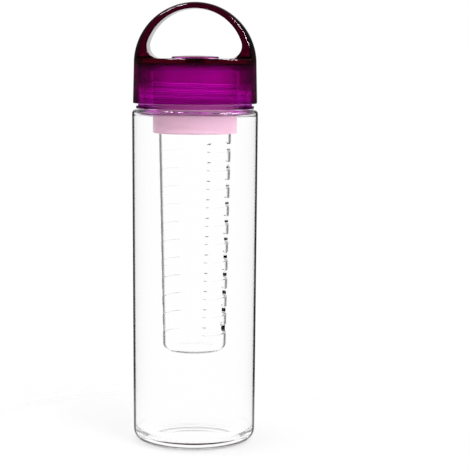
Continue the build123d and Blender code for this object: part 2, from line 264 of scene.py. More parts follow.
def add(tree, kind, **values):
    """A node with its properties set, and its unlinked inputs from a dictionary named inputs."""
    node = tree.nodes.new(kind)
    for key, value in values.items():
        if key == "inputs":
            for socket, setting in value.items():
                node.inputs[socket].default_value = setting
        else:
            setattr(node, key, value)
    return node


def math_node(tree, operation, first, second=None, third=None):
    """The output of a Math node; each operand is a number or a socket."""
    node = add(tree, "ShaderNodeMath", operation=operation)
    for place, operand in enumerate((first, second, third)):
        if operand is None:
            continue
        if isinstance(operand, (int, float)):
            node.inputs[place].default_value = operand
        else:
            tree.links.new(operand, node.inputs[place])
    return node.outputs[0]


def ramp_between(tree, value, low, high, out_low=0.0, out_high=1.0):
    """A smooth step of value from low to high."""
    node = add(tree, "ShaderNodeMapRange", interpolation_type="SMOOTHSTEP")
    tree.links.new(value, node.inputs["Value"])
    for name, limit in (
        ("From Min", low), ("From Max", high), ("To Min", out_low), ("To Max", out_high)
    ):
        node.inputs[name].default_value = limit
    return node.outputs["Result"]


def shader_group(name, inputs, outputs):
    """An empty shader node group with its sockets: its tree, its input node and its output node."""
    tree = bpy.data.node_groups.new(name, "ShaderNodeTree")
    for socket, kind, default in inputs:
        made = tree.interface.new_socket(name=socket, in_out="INPUT", socket_type=kind)
        made.default_value = default
    for socket, kind in outputs:
        tree.interface.new_socket(name=socket, in_out="OUTPUT", socket_type=kind)
    return tree, tree.nodes.new("NodeGroupInput"), tree.nodes.new("NodeGroupOutput")


def moulded_surface_group():
    """The faint waviness and hairline scuffs of moulded plastic: a height and a roughness."""
    tree, given, result = shader_group(
        "moulded_surface",
        (
            ("Wave Size", "NodeSocketFloat", 60.0),
            ("Roughness Low", "NodeSocketFloat", 0.01),
            ("Roughness High", "NodeSocketFloat", 0.06),
            ("Scuffs", "NodeSocketFloat", 0.35),
        ),
        (("Height", "NodeSocketFloat"), ("Roughness", "NodeSocketFloat")),
    )
    place = add(tree, "ShaderNodeTexCoord")
    wave = add(tree, "ShaderNodeTexNoise", inputs={"Detail": 1.0, "Roughness": 0.4})
    tree.links.new(place.outputs["Object"], wave.inputs["Vector"])
    tree.links.new(given.outputs["Wave Size"], wave.inputs["Scale"])
    tree.links.new(wave.outputs[0], result.inputs["Height"])
    stretch = add(tree, "ShaderNodeMapping", inputs={"Scale": (1.0, 1.0, 0.12)})
    tree.links.new(place.outputs["Object"], stretch.inputs["Vector"])
    scuff = add(
        tree, "ShaderNodeTexNoise", inputs={"Scale": 900.0, "Detail": 3.0, "Roughness": 0.6}
    )
    tree.links.new(stretch.outputs[0], scuff.inputs["Vector"])
    cloud = add(tree, "ShaderNodeTexNoise", inputs={"Scale": 45.0, "Detail": 2.0})
    tree.links.new(place.outputs["Object"], cloud.inputs["Vector"])
    lines = ramp_between(tree, scuff.outputs[0], *SCUFF_LINES)
    patch = ramp_between(tree, cloud.outputs[0], *SCUFF_PATCHES)
    worn = math_node(tree, "MULTIPLY", lines, patch)
    worn = math_node(tree, "MULTIPLY", worn, given.outputs["Scuffs"])
    low, high = given.outputs["Roughness Low"], given.outputs["Roughness High"]
    rough = math_node(tree, "MULTIPLY_ADD", worn, math_node(tree, "SUBTRACT", high, low), low)
    tree.links.new(rough, result.inputs["Roughness"])
    return tree


def outward_wall_group():
    """A mask of the faces that look away from the bottle's axis, and not up, which take painted edge
    shade.
    """
    tree, given, result = shader_group(
        "outward_wall",
        (("Least", "NodeSocketFloat", OUTWARD_LEAST),),
        (("Mask", "NodeSocketFloat"),),
    )
    place = add(tree, "ShaderNodeTexCoord")
    flat = add(tree, "ShaderNodeVectorMath", operation="MULTIPLY")
    flat.inputs[1].default_value = (1.0, 1.0, 0.0)
    tree.links.new(place.outputs["Object"], flat.inputs[0])
    unit = add(tree, "ShaderNodeVectorMath", operation="NORMALIZE")
    tree.links.new(flat.outputs[0], unit.inputs[0])
    dot = add(tree, "ShaderNodeVectorMath", operation="DOT_PRODUCT")
    tree.links.new(unit.outputs[0], dot.inputs[0])
    tree.links.new(place.outputs["Normal"], dot.inputs[1])
    past = math_node(tree, "SUBTRACT", dot.outputs["Value"], given.outputs["Least"])
    parts = add(tree, "ShaderNodeSeparateXYZ")
    tree.links.new(place.outputs["Normal"], parts.inputs[0])
    level = ramp_between(tree, parts.outputs["Z"], *UPWARD, 1.0, 0.0)
    level = math_node(tree, "MULTIPLY", level, ramp_between(tree, parts.outputs["Z"], *DOWNWARD))
    mask = math_node(tree, "MULTIPLY", ramp_between(tree, past, 0.0, OUTWARD_SOFTNESS), level)
    tree.links.new(mask, result.inputs["Mask"])
    return tree


def new_material(name):
    """An empty material, its tree, its Principled shader and its output."""
    material = bpy.data.materials.new(name)
    material.use_nodes = True
    tree = material.node_tree
    shader = tree.nodes["Principled BSDF"]
    return material, tree, shader, tree.nodes["Material Output"]


def place_surface(tree, shader, wave_size, smooth, worn, scuffs, wave_depth=1e-5):
    """Puts the moulded surface on a Principled shader, with its smooth and its worn roughness."""
    group = add(
        tree, "ShaderNodeGroup", node_tree=bpy.data.node_groups["moulded_surface"],
        inputs={
            "Wave Size": wave_size, "Scuffs": scuffs, "Roughness Low": smooth, "Roughness High": worn
        },
    )
    bump = add(tree, "ShaderNodeBump", inputs={"Strength": 1.0, "Distance": wave_depth})
    tree.links.new(group.outputs["Height"], bump.inputs["Height"])
    tree.links.new(bump.outputs[0], shader.inputs["Normal"])
    tree.links.new(group.outputs["Roughness"], shader.inputs["Roughness"])


def mixed(tree, factor, first, second):
    """A colour between two; each is a colour or a socket."""
    mix = add(tree, "ShaderNodeMix", data_type="RGBA")
    tree.links.new(factor, next(socket for socket in mix.inputs if socket.name == "Factor"))
    ends = [socket for socket in mix.inputs if socket.type == "RGBA"]
    for socket, tint in zip(ends, (first, second)):
        if isinstance(tint, bpy.types.NodeSocket):
            tree.links.new(tint, socket)
        else:
            socket.default_value = (*tint, 1.0)
    return next(socket for socket in mix.outputs if socket.type == "RGBA")


def shaded(tree, value, tint, least):
    """A colour ramp from a share of a tint to the tint itself."""
    ramp = add(tree, "ShaderNodeValToRGB")
    ramp.color_ramp.elements[0].color = (*(part * least for part in tint), 1.0)
    ramp.color_ramp.elements[1].color = (*tint, 1.0)
    tree.links.new(value, ramp.inputs[0])
    return ramp.outputs[0]


def above(tree, base, heights, out_low=0.0, out_high=1.0):
    """A value that changes between two heights over a base height."""
    place = add(tree, "ShaderNodeTexCoord")
    parts = add(tree, "ShaderNodeSeparateXYZ")
    tree.links.new(place.outputs["Object"], parts.inputs[0])
    low, high = (base + height for height in heights)
    return ramp_between(tree, parts.outputs["Z"], low, high, out_low, out_high)


def facing(tree):
    """How much a surface is seen edge on, from 0 to 1."""
    return add(tree, "ShaderNodeLayerWeight", inputs={"Blend": 0.5}).outputs["Facing"]


def paint_edge_shade(tree, face_tint, painted_shade_tint, start, end, least=OUTWARD_LEAST, share=None):
    """Painted shade: a tint that changes on an outward wall from the start to the end of the facing
    weight.
    """
    edge = ramp_between(tree, facing(tree), start, end)
    wall = add(
        tree, "ShaderNodeGroup", node_tree=bpy.data.node_groups["outward_wall"],
        inputs={"Least": least},
    )
    edge = math_node(tree, "MULTIPLY", edge, wall.outputs["Mask"])
    if share is not None:
        edge = math_node(tree, "MULTIPLY", edge, share)
    return mixed(tree, edge, face_tint, painted_shade_tint)


def clear_plastic(name, looks, start, end, least):
    """Clear moulded plastic, with painted shade where it is seen edge on."""
    material, tree, shader, _out = new_material(name)
    shader.inputs["Transmission Weight"].default_value = 1.0
    shader.inputs["IOR"].default_value = looks.clear_ior
    shader.inputs["Specular Tint"].default_value = (0.2, 0.2, 0.2, 1.0)
    place_surface(tree, shader, wave_size=55.0, smooth=0.0, worn=0.04, scuffs=0.3)
    # painted shade: the dark outline tint where the wall is seen edge on
    tint = paint_edge_shade(tree, looks.clear_tint, looks.painted_outline_shade, start, end, least)
    tree.links.new(tint, shader.inputs["Base Color"])
    return material


def shell_colours(tree, looks, hem):
    """The lid shell's colour from skirt to arch, and the share of painted edge shade at each place.
    """
    skirt = mixed(tree, above(tree, LINER_LOW.z, HEM_HEIGHTS), looks.hem_face, looks.shell_face)
    # painted shade on the skirt where it is seen aslant
    skirt = paint_edge_shade(tree, skirt, looks.shell_painted_side_shade, *SIDE_FACING, share=hem)
    deck = above(tree, LINER_HIGH.z, DECK_HEIGHTS)
    arch = above(tree, LINER_HIGH.z, ARCH_HEIGHTS)
    face = mixed(tree, arch, mixed(tree, deck, skirt, looks.deck_face), looks.arch_face)
    # the skirt's foot takes the full painted edge shade where it is seen edge on
    rim = ramp_between(tree, facing(tree), *RIM_FACING)
    return face, math_node(tree, "MAXIMUM", hem, rim)


def liner_colours(tree, looks, hem):
    """The same for the liner, which is pale at its flange, and for the cap, which has none."""
    flange = above(tree, LINER_LOW.z, FLANGE_HEIGHTS, 1.0, 0.0)
    face = mixed(tree, flange, looks.clear_tint, looks.flange_face)
    return face, math_node(tree, "MAXIMUM", hem, flange)


def tinted_plastic(name, looks, colours, tint, density, edge, start, end, clearness=1.0):
    """Purple plastic: clear skin, colour in its depth, and painted shade where it is seen edge on.
    """
    material, tree, shader, out = new_material(name)
    shader.inputs["Transmission Weight"].default_value = clearness
    shader.inputs["IOR"].default_value = looks.plastic_ior
    shader.inputs["Specular Tint"].default_value = (0.2, 0.15, 0.2, 1.0)
    place_surface(tree, shader, wave_size=70.0, smooth=0.01, worn=0.08, scuffs=0.4)
    hem = above(tree, LINER_LOW.z, SIDE_HEIGHTS, HEM_SHARE, 1.0)
    face, share = colours(tree, looks, hem)
    # painted shade where the plastic is seen edge on
    tree.links.new(paint_edge_shade(tree, face, edge, start, end, share=share), shader.inputs["Base Color"])
    depth = add(tree, "ShaderNodeVolumeAbsorption")
    depth.inputs["Color"].default_value = (*tint, 1.0)
    depth.inputs["Density"].default_value = density
    tree.links.new(depth.outputs[0], out.inputs["Volume"])
    return material


def hazy_plastic(name, looks):
    """Pink plastic with a haze in it, which blurs what lies behind."""
    material, tree, shader, _out = new_material(name)
    shader.inputs["Transmission Weight"].default_value = looks.head_clearness
    shader.inputs["IOR"].default_value = looks.head_ior
    shader.inputs["Base Color"].default_value = (*looks.head_tint, 1.0)
    shader.inputs["Specular Tint"].default_value = (0.3, 0.3, 0.3, 1.0)
    place_surface(tree, shader, wave_size=80.0, smooth=0.3, worn=0.4, scuffs=0.5, wave_depth=2e-5)
    return material


def milky_rubber(name, looks):
    """Cloudy rubber that glows where light goes through it."""
    material, tree, shader, _out = new_material(name)
    place_surface(tree, shader, wave_size=90.0, smooth=0.4, worn=0.52, scuffs=0.6, wave_depth=2e-5)
    mottle = add(tree, "ShaderNodeTexNoise", inputs={"Scale": 60.0, "Detail": 2.0})
    place = add(tree, "ShaderNodeTexCoord")
    tree.links.new(place.outputs["Object"], mottle.inputs["Vector"])
    tint = shaded(tree, mottle.outputs[0], looks.rubber_tint, 0.95)
    tree.links.new(tint, shader.inputs["Base Color"])
    shader.inputs["Transmission Weight"].default_value = looks.rubber_clearness
    shader.inputs["IOR"].default_value = looks.rubber_ior
    return material


def drawn_steel(name, looks):
    """A drawn pin with fine lines along it."""
    material, tree, shader, _out = new_material(name)
    shader.inputs["Metallic"].default_value = 1.0
    place = add(tree, "ShaderNodeTexCoord")
    stretch = add(tree, "ShaderNodeMapping", inputs={"Scale": (0.05, 1.0, 1.0)})
    lines = add(tree, "ShaderNodeTexNoise", inputs={"Scale": 4000.0, "Detail": 2.0})
    tree.links.new(place.outputs["Object"], stretch.inputs["Vector"])
    tree.links.new(stretch.outputs[0], lines.inputs["Vector"])
    roughness = ramp_between(tree, lines.outputs[0], 0.3, 0.7, 0.25, 0.4)
    tree.links.new(roughness, shader.inputs["Roughness"])
    tint = shaded(tree, lines.outputs[0], looks.steel_tint, 0.8)
    tree.links.new(tint, shader.inputs["Base Color"])
    return material


def material_named(name):
    """The bottle's materials, each made when it is first asked for."""
    if name in bpy.data.materials:
        return bpy.data.materials[name]
    groups = {"moulded_surface": moulded_surface_group, "outward_wall": outward_wall_group}
    for group, make in groups.items():
        if group not in bpy.data.node_groups:
            make()
    looks = bpy.context.scene.bottle_looks
    makers = {
        "clear_body_plastic": partial(clear_plastic, start=0.70, end=0.77, least=OUTWARD_LEAST),
        "clear_basket_plastic": partial(clear_plastic, start=0.55, end=0.70, least=0.8),
        "purple_lid_plastic": partial(
            tinted_plastic, colours=shell_colours, tint=looks.shell_tint, edge=looks.shell_painted_edge_shade,
            density=looks.shell_density, start=0.25, end=0.58, clearness=looks.shell_clearness,
        ),
        "purple_liner_plastic": partial(
            tinted_plastic, colours=liner_colours, tint=looks.liner_tint, edge=looks.liner_painted_edge_shade,
            density=looks.liner_density, start=0.05, end=0.42,
        ),
        "purple_cap_plastic": partial(
            tinted_plastic, colours=liner_colours, tint=looks.shell_tint, edge=looks.shell_painted_edge_shade,
            density=looks.liner_density, start=0.3, end=0.8,
        ),
        "pink_head_plastic": hazy_plastic,
        "milky_rubber": milky_rubber,
        "drawn_steel": drawn_steel,
    }
    return makers[name](name, looks)


def dress(obj, material):
    """Gives an object one material."""
    obj.data.materials.clear()
    obj.data.materials.append(material_named(material))


# Turned pieces

def rounded(corners):
    """Points of a closed outline, from corners given as radius, height and rounding."""
    points = []
    count = len(corners)
    for place, (r, z, rounding) in enumerate(corners):
        here = Vector((r, z))
        if rounding <= 0:
            points.append(here)
            continue
        before = Vector(corners[place - 1][:2]) - here
        after = Vector(corners[(place + 1) % count][:2]) - here
        half = before.angle(after) / 2
        run = rounding / math.tan(half)
        bisector = (before.normalized() + after.normalized()).normalized()
        centre = here + bisector * (rounding / math.sin(half))
        first = here + before.normalized() * run - centre
        last = here + after.normalized() * run - centre
        sweep = first.angle_signed(last)
        for step in range(ARC_STEPS + 1):
            turn = -sweep * step / ARC_STEPS
            points.append(centre + Matrix.Rotation(turn, 2) @ first)
    return points


def turned(name, corners, segments=TURNED_SEGMENTS):
    """A closed piece revolved about +Z from an outline of rounded corners."""
    outline = rounded(corners)
    mesh = bpy.data.meshes.new(name)
    shape = bmesh.new()
    rings = []
    for point in outline:
        if point.x < MERGE_DISTANCE:
            rings.append([shape.verts.new((0.0, 0.0, point.y))] * segments)
            continue
        ring = []
        for step in range(segments):
            turn = math.tau * step / segments
            x, y = point.x * math.cos(turn), point.x * math.sin(turn)
            ring.append(shape.verts.new((x, y, point.y)))
        rings.append(ring)
    for place, ring in enumerate(rings):
        other = rings[(place + 1) % len(rings)]
        for step in range(segments):
            after = (step + 1) % segments
            corners_of_face = []
            for vert in (ring[step], ring[after], other[after], other[step]):
                if vert not in corners_of_face:
                    corners_of_face.append(vert)
            if len(corners_of_face) > 2:
                shape.faces.new(corners_of_face)
    bmesh.ops.remove_doubles(shape, verts=shape.verts, dist=MERGE_DISTANCE)
    bmesh.ops.recalc_face_normals(shape, faces=shape.faces)
    shape.to_mesh(mesh)
    shape.free()
    mesh.shade_smooth()
    mesh.set_sharp_from_angle(angle=TURNED_SHARP_ANGLE)
    obj = bpy.data.objects.new(name, mesh)
    bpy.context.scene.collection.objects.link(obj)
    return obj


def washer(name, low, high, width, edge, gap):
    """A flat rubber ring with rounded edges, between two heights and inside an outer radius."""
    outer = high.x - gap
    inner = outer - width
    bottom, top = low.z + gap, high.z - gap
    return turned(
        name, ((inner, bottom, edge), (outer, bottom, edge), (outer, top, edge), (inner, top, edge))
    )


# Screw threads, by Geometry Nodes

def thread_tree():
    """Geometry Nodes that sweep a ridge along a helix, once for each start."""
    tree = bpy.data.node_groups.new("screw_thread", "GeometryNodeTree")
    for socket, kind, default in (
        ("Radius", "NodeSocketFloat", 0.03),
        ("Lead", "NodeSocketFloat", 0.004),
        ("Turns", "NodeSocketFloat", 2.5),
        ("Start Height", "NodeSocketFloat", 0.0),
        ("Start Angle", "NodeSocketFloat", 0.0),
        ("Starts", "NodeSocketInt", 1),
        ("Depth", "NodeSocketFloat", 0.001),
        ("Root", "NodeSocketFloat", 0.0001),
        ("Foot Width", "NodeSocketFloat", 0.0017),
        ("Crest Width", "NodeSocketFloat", 0.0007),
        ("Side", "NodeSocketFloat", 1.0),
        ("Run Out", "NodeSocketFloat", 0.06),
        ("Steps Per Turn", "NodeSocketInt", 96),
        ("Material", "NodeSocketMaterial", None),
    ):
        made = tree.interface.new_socket(name=socket, in_out="INPUT", socket_type=kind)
        if default is not None:
            made.default_value = default
    tree.interface.new_socket(name="Geometry", in_out="OUTPUT", socket_type="NodeSocketGeometry")
    given = tree.nodes.new("NodeGroupInput")
    result = tree.nodes.new("NodeGroupOutput")
    link = tree.links.new
    calc = partial(math_node, tree)

    helix = tree.nodes.new("GeometryNodeCurveSpiral")
    link(given.outputs["Steps Per Turn"], helix.inputs["Resolution"])
    link(given.outputs["Turns"], helix.inputs["Rotations"])
    link(given.outputs["Radius"], helix.inputs["Start Radius"])
    link(given.outputs["Radius"], helix.inputs["End Radius"])
    link(calc("MULTIPLY", given.outputs["Lead"], given.outputs["Turns"]), helix.inputs["Height"])
    upright = tree.nodes.new("GeometryNodeSetCurveNormal")
    upright.mode = "Z_UP"
    link(helix.outputs[0], upright.inputs["Curve"])

    along = tree.nodes.new("GeometryNodeSplineParameter").outputs["Factor"]
    from_end = calc("MINIMUM", along, calc("SUBTRACT", 1.0, along))
    swell = calc("DIVIDE", from_end, given.outputs["Run Out"])
    swell = calc("MAXIMUM", calc("MINIMUM", swell, 1.0), RIDGE_LEAST_SWELL)
    taper = tree.nodes.new("GeometryNodeSetCurveRadius")
    link(upright.outputs[0], taper.inputs["Curve"])
    link(swell, taper.inputs["Radius"])

    ridge = tree.nodes.new("GeometryNodeCurvePrimitiveQuadrilateral")
    ridge.mode = "TRAPEZOID"
    link(given.outputs["Foot Width"], ridge.inputs["Bottom Width"])
    link(given.outputs["Crest Width"], ridge.inputs["Top Width"])
    ridge.inputs["Offset"].default_value = 0.0
    rise = calc("ADD", given.outputs["Depth"], given.outputs["Root"])
    link(rise, ridge.inputs["Height"])
    lift = calc("SUBTRACT", calc("DIVIDE", rise, 2.0), given.outputs["Root"])
    stand = tree.nodes.new("ShaderNodeCombineXYZ")
    link(lift, stand.inputs["Y"])
    raised = tree.nodes.new("GeometryNodeTransform")
    link(ridge.outputs[0], raised.inputs["Geometry"])
    link(stand.outputs[0], raised.inputs["Translation"])
    outward = tree.nodes.new("ShaderNodeCombineXYZ")
    link(calc("MULTIPLY", given.outputs["Side"], -math.pi / 2), outward.inputs["Z"])
    laid = tree.nodes.new("GeometryNodeTransform")
    link(raised.outputs[0], laid.inputs["Geometry"])
    link(outward.outputs[0], laid.inputs["Rotation"])
    eased = tree.nodes.new("GeometryNodeFilletCurve")
    eased.mode = "POLY"
    eased.inputs["Count"].default_value = 3
    link(calc("MULTIPLY", given.outputs["Crest Width"], RIDGE_ROUNDING), eased.inputs["Radius"])
    link(laid.outputs[0], eased.inputs["Curve"])

    sweep = tree.nodes.new("GeometryNodeCurveToMesh")
    sweep.inputs["Fill Caps"].default_value = True
    link(taper.outputs[0], sweep.inputs["Curve"])
    link(eased.outputs[0], sweep.inputs["Profile Curve"])

    points = tree.nodes.new("GeometryNodePoints")
    link(given.outputs["Starts"], points.inputs["Count"])
    index = tree.nodes.new("GeometryNodeInputIndex").outputs[0]
    turn = calc("MULTIPLY", calc("DIVIDE", index, given.outputs["Starts"]), math.tau)
    turn = calc("ADD", turn, given.outputs["Start Angle"])
    turned_to = tree.nodes.new("ShaderNodeCombineXYZ")
    link(turn, turned_to.inputs["Z"])
    copies = tree.nodes.new("GeometryNodeInstanceOnPoints")
    link(points.outputs[0], copies.inputs["Points"])
    link(sweep.outputs[0], copies.inputs["Instance"])
    link(turned_to.outputs[0], copies.inputs["Rotation"])
    real = tree.nodes.new("GeometryNodeRealizeInstances")
    link(copies.outputs[0], real.inputs[0])
    height = tree.nodes.new("ShaderNodeCombineXYZ")
    link(given.outputs["Start Height"], height.inputs["Z"])
    placed = tree.nodes.new("GeometryNodeTransform")
    link(real.outputs[0], placed.inputs["Geometry"])
    link(height.outputs[0], placed.inputs["Translation"])
    finish = tree.nodes.new("GeometryNodeSetMaterial")
    link(placed.outputs[0], finish.inputs["Geometry"])
    link(given.outputs["Material"], finish.inputs["Material"])
    link(finish.outputs[0], result.inputs["Geometry"])
    return tree


def thread(name, material, **values):
    """A plain mesh of a screw thread made by the thread tree."""
    tree = bpy.data.node_groups.get("screw_thread") or thread_tree()
    carrier = bpy.data.objects.new(f"{name}_maker", bpy.data.meshes.new(f"{name}_maker"))
    bpy.context.scene.collection.objects.link(carrier)
    modifier = carrier.modifiers.new("thread", "NODES")
    modifier.node_group = tree
    sockets = {
        item.name: item.identifier
        for item in tree.interface.items_tree
        if item.item_type == "SOCKET" and item.in_out == "INPUT"
    }
    modifier[sockets["Material"]] = material_named(material)
    for key, value in values.items():
        modifier[sockets[key.replace("_", " ").title()]] = value
    bpy.context.view_layer.update()
    result = carrier.evaluated_get(bpy.context.evaluated_depsgraph_get())
    mesh = bpy.data.meshes.new_from_object(result)
    bpy.data.objects.remove(carrier)
    if not mesh.polygons:
        raise RuntimeError(f"the thread {name} came out empty")
    shape = bmesh.new()
    shape.from_mesh(mesh)
    bmesh.ops.remove_doubles(shape, verts=shape.verts, dist=MERGE_DISTANCE)
    bmesh.ops.recalc_face_normals(shape, faces=shape.faces)
    shape.to_mesh(mesh)
    shape.free()
    mesh.name = name
    mesh.shade_smooth()
    mesh.set_sharp_from_angle(angle=THREAD_SHARP_ANGLE)
    obj = bpy.data.objects.new(name, mesh)
    bpy.context.scene.collection.objects.link(obj)
    dress(obj, material)
    return obj


# Operators

class BOTTLE_OT_body(Operator):
    """Dress the clear bottle and cut the thread on its neck"""

    bl_idname = "bottle.body"
    bl_label = "Bottle body"

    def execute(self, context):
        sizes = context.scene.bottle_threads
        dress(NODES["bottle_body"], "clear_body_plastic")
        ridge = thread(
            "neck_thread", "clear_body_plastic",
            radius=sizes.neck_radius, lead=sizes.neck_pitch, turns=sizes.neck_turns,
            start_height=sizes.neck_start, depth=sizes.neck_depth, root=sizes.ridge_root,
            foot_width=sizes.ridge_foot, crest_width=sizes.ridge_crest,
        )
        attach(ridge, "bottle")
        return {"FINISHED"}


class BOTTLE_OT_head(Operator):
    """Dress the pink head and cut the thread in its bore"""

    bl_idname = "bottle.head"
    bl_label = "Infuser head"

    def execute(self, context):
        sizes = context.scene.bottle_threads
        dress(NODES["infuser_head"], "pink_head_plastic")
        bore = BASKET_HIGH.x + sizes.basket_depth * sizes.basket_room
        ridge = thread(
            "head_thread", "pink_head_plastic",
            radius=bore, lead=sizes.basket_lead, turns=sizes.basket_turns,
            start_height=HEAD_LOW.z + sizes.ridge_foot,
            depth=sizes.basket_depth, root=sizes.ridge_root,
            foot_width=sizes.ridge_foot, crest_width=sizes.ridge_crest, side=-1.0,
            starts=sizes.basket_starts, run_out=sizes.basket_run_out,
        )
        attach(ridge, "infuser")
        return {"FINISHED"}


class BOTTLE_OT_basket(Operator):
    """Dress the clear slotted basket and cut the thread round its mouth"""

    bl_idname = "bottle.basket"
    bl_label = "Infuser basket"

    def execute(self, context):
        sizes = context.scene.bottle_threads
        dress(NODES["infuser_basket"], "clear_basket_plastic")
        height = sizes.basket_lead * sizes.basket_turns
        ridge = thread(
            "basket_thread", "clear_basket_plastic",
            radius=BASKET_HIGH.x - sizes.ridge_root,
            lead=sizes.basket_lead, turns=sizes.basket_turns,
            start_height=BASKET_HIGH.z - sizes.ridge_foot - height, start_angle=math.pi / 2,
            depth=sizes.basket_depth, root=sizes.ridge_root * sizes.basket_root,
            foot_width=sizes.ridge_foot, crest_width=sizes.ridge_crest,
            starts=sizes.basket_starts, run_out=sizes.basket_run_out,
        )
        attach(ridge, "basket")
        return {"FINISHED"}


class BOTTLE_OT_rings(Operator):
    """Make the three rubber rings"""

    bl_idname = "bottle.rings"
    bl_label = "Rubber rings"

    def execute(self, context):
        sizes = context.scene.bottle_rings
        for name, node, body, low, high, width in (
            ("mouth_ring", "mouth_gasket", "infuser", GASKET_LOW, GASKET_HIGH, sizes.gasket_width),
            ("lid_ring", "lid_seal", "seal", SEAL_LOW, SEAL_HIGH, sizes.seal_width),
            ("basket_ring", "basket_o_ring", "o_ring", O_RING_LOW, O_RING_HIGH, sizes.o_ring_width),
        ):
            ring = washer(name, low, high, width, sizes.ring_edge, sizes.skin_gap)
            dress(ring, "milky_rubber")
            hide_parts(node)
            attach(ring, body)
        return {"FINISHED"}


class BOTTLE_OT_lid(Operator):
    """Dress the lid shell, and make its thread liner"""

    bl_idname = "bottle.lid"
    bl_label = "Lid and liner"

    def execute(self, context):
        sizes = context.scene.bottle_rings
        threads = context.scene.bottle_threads
        dress(NODES["lid_shell"], "purple_lid_plastic")
        gap = sizes.skin_gap
        flange = LINER_HIGH.x
        outer = flange - sizes.flange_width
        bore = outer - sizes.liner_wall
        roof_bore = bore - sizes.liner_roof_width
        bottom, top = LINER_LOW.z, LINER_HIGH.z - gap
        flange_top = bottom + sizes.flange_height
        roof = LINER_HIGH.z - sizes.liner_roof + gap
        corners = (
            (bore, bottom), (flange, bottom), (flange, flange_top), (outer, flange_top),
            (outer, top), (roof_bore, top), (roof_bore, roof), (bore, roof),
        )
        liner = turned("liner_cup", [(*corner, sizes.ring_edge) for corner in corners])
        dress(liner, "purple_liner_plastic")
        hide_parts("thread_liner")
        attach(liner, "liner")
        ridge = thread(
            "liner_thread", "purple_liner_plastic",
            radius=bore, lead=threads.neck_pitch, turns=threads.liner_turns,
            start_height=threads.neck_start - threads.neck_pitch / 2, depth=threads.neck_depth,
            root=threads.ridge_root, foot_width=threads.ridge_foot, crest_width=threads.ridge_crest,
            side=-1.0,
        )
        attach(ridge, "lid")
        return {"FINISHED"}


class BOTTLE_OT_cap(Operator):
    """Dress the pour cap, and make its plug and its hinge pin"""

    bl_idname = "bottle.cap"
    bl_label = "Pour cap"

    def execute(self, context):
        sizes = context.scene.bottle_rings
        dress(NODES["spout_cap"], "purple_cap_plastic")
        gap = sizes.skin_gap
        radius = PLUG_HIGH.x
        bottom, top = PLUG_LOW.z, PLUG_HIGH.z - gap
        boss = sizes.plug_boss_radius + gap
        plug = turned(
            "port_plug",
            (
                (0.0, bottom, 0), (radius, bottom, sizes.plug_lead), (radius, top, sizes.ring_edge),
                (boss, top, 0), (boss, top - sizes.plug_boss_depth, 0),
                (0.0, top - sizes.plug_boss_depth, 0),
            ),
            PLUG_SEGMENTS,
        )
        dress(plug, "milky_rubber")
        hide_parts("cap_plug")
        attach(plug, "cap")

        radius = (PIN_HIGH.z - PIN_LOW.z) / 2 - gap
        half = (PIN_HIGH.x - PIN_LOW.x) / 2
        chamfer = sizes.pin_chamfer
        pin = turned(
            "hinge_pin",
            (
                (0.0, -half, 0), (radius - chamfer, -half, 0), (radius, -half + chamfer, 0),
                (radius, half - chamfer, 0), (radius - chamfer, half, 0), (0.0, half, 0),
            ),
            PIN_SEGMENTS,
        )
        centre = (PIN_LOW + PIN_HIGH) / 2
        pin.data.transform(Matrix.Translation(centre) @ Matrix.Rotation(math.pi / 2, 4, "Y"))
        dress(pin, "drawn_steel")
        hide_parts("cap_hinge_pin")
        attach(pin, "lid")
        return {"FINISHED"}


class BOTTLE_OT_studio(Operator):
    """Set the floor, the light and the camera"""

    bl_idname = "bottle.studio"
    bl_label = "Studio"

    def execute(self, context):
        scene = context.scene
        studio = scene.bottle_studio
        make_floor(studio)
        make_world(studio)
        make_key(studio)
        camera = bpy.data.cameras.new("studio_camera")
        camera.lens = studio.lens
        camera.sensor_width = 36.0
        camera.clip_start, camera.clip_end = 0.01, 20.0
        holder = bpy.data.objects.new("studio_camera", camera)
        scene.collection.objects.link(holder)
        holder.matrix_world = (
            Matrix.Rotation(studio.camera_orbit, 4, "Z")
            @ Matrix.Translation((0.0, -studio.camera_distance, studio.camera_height))
            @ Matrix.Rotation(-studio.camera_yaw, 4, "Z")
            @ Matrix.Rotation(math.pi / 2 - studio.camera_pitch, 4, "X")
            @ Matrix.Rotation(studio.camera_roll, 4, "Z")
        )
        scene.camera = holder
        scene.view_settings.view_transform = "Standard"
        scene.cycles.max_bounces = 48
        scene.cycles.transmission_bounces = 48
        scene.cycles.glossy_bounces = 16
        return {"FINISHED"}


def make_floor(studio):
    """A round matt floor, half clear, that fades out so that the white world shows round it."""
    mesh = bpy.data.meshes.new("floor")
    shape = bmesh.new()
    bmesh.ops.create_circle(
        shape, cap_ends=True, radius=studio.floor_radius, segments=FLOOR_SEGMENTS
    )
    shape.to_mesh(mesh)
    shape.free()
    floor = bpy.data.objects.new("floor", mesh)
    bpy.context.scene.collection.objects.link(floor)
    material = bpy.data.materials.new("studio_floor")
    material.use_nodes = True
    tree = material.node_tree
    tree.nodes.clear()
    out = tree.nodes.new("ShaderNodeOutputMaterial")
    matt = add(tree, "ShaderNodeBsdfDiffuse", inputs={"Color": (*studio.floor_tint, 1.0)})
    clear = add(tree, "ShaderNodeBsdfTransparent")
    mix = tree.nodes.new("ShaderNodeMixShader")
    place = add(tree, "ShaderNodeTexCoord")
    length = add(tree, "ShaderNodeVectorMath", operation="LENGTH")
    tree.links.new(place.outputs["Object"], length.inputs[0])
    fade = ramp_between(tree, length.outputs["Value"], *FLOOR_FADE, studio.floor_clearness, 1.0)
    path = tree.nodes.new("ShaderNodeLightPath")
    fade = math_node(tree, "MAXIMUM", fade, path.outputs["Is Transmission Ray"])
    tree.links.new(fade, mix.inputs[0])
    tree.links.new(matt.outputs[0], mix.inputs[1])
    tree.links.new(clear.outputs[0], mix.inputs[2])
    tree.links.new(mix.outputs[0], out.inputs["Surface"])
    floor.data.materials.append(material)


